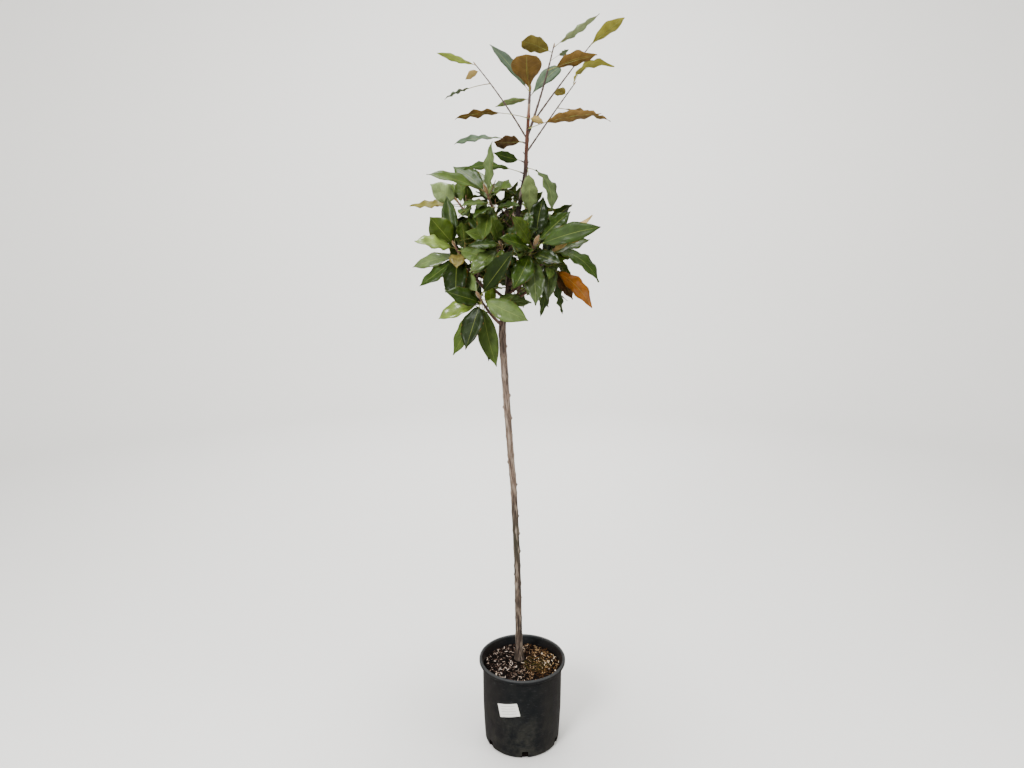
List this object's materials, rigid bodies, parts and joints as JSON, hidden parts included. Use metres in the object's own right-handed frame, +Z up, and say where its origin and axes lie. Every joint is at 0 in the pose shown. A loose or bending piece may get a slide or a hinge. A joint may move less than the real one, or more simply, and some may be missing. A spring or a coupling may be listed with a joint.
{
  "type": "potted standard magnolia",
  "caption": "Evergreen magnolia grown as a half standard: clear leaning stem, loose round head of large leathery leaves with bare young shoots above, in a round nursery pot.",
  "frame": {"origin": "centre of the pot's flat underside", "axes": "+Z up, +X to the viewer's right and +Y away from the viewer, who sees the label on the front of the pot"},
  "size_m": [0.6068, 0.475, 2.2396],
  "materials": {
    "pot": "moulded charcoal plastic, dusty and faintly scuffed",
    "potting_mix": "damp bark potting mix",
    "label": "blank self-adhesive label",
    "trunk_bark": "smooth grey-brown bark with old leaf scars",
    "young_wood": "smooth red-brown young bark",
    "foliage": "glossy leathery leaves",
    "young_foliage": "olive young leaves with rust-brown undersides"
  },
  "bodies": {
    "root": {"back_high_bough": "young_wood", "back_high_spray": "foliage", "back_left_bough": "young_wood", "back_left_spray": "foliage", "back_low_bough": "young_wood", "back_low_spray": "foliage", "back_middle_bough": "young_wood", "back_middle_spray": "foliage", "back_right_bough": "young_wood", "back_right_spray": "foliage", "back_upper_left_bough": "young_wood", "back_upper_left_spray": "foliage", "crossing_leaves": "young_foliage", "front_left_bough": "young_wood", "front_left_spray": "foliage", "front_middle_bough": "young_wood", "front_middle_spray": "foliage", "front_right_bough": "young_wood", "front_right_spray": "foliage", "hanging_leaves": "young_foliage", "label": "label", "left_bough": "young_wood", "left_shoot": "young_wood", "left_shoot_spray": "young_foliage", "left_spray": "foliage", "low_front_leaf": "young_foliage", "low_right_bough": "young_wood", "low_right_spray": "foliage", "low_shoot": "young_wood", "low_shoot_spray": "young_foliage", "lower_left_leaf": "young_foliage", "middle_left_leaf": "young_foliage", "pot": "pot", "potting_mix": "potting_mix", "right_bough": "young_wood", "right_shoot": "young_wood", "right_shoot_spray": "young_foliage", "right_spray": "foliage", "tall_shoot": "young_wood", "tall_shoot_spray": "young_foliage", "top_tuft": "young_foliage", "trunk": "trunk_bark", "upper_front_bough": "young_wood", "upper_front_spray": "foliage", "upper_left_bough": "young_wood", "upper_left_leaves": "young_foliage", "upper_left_spray": "foliage"}
  },
  "joints": []
}
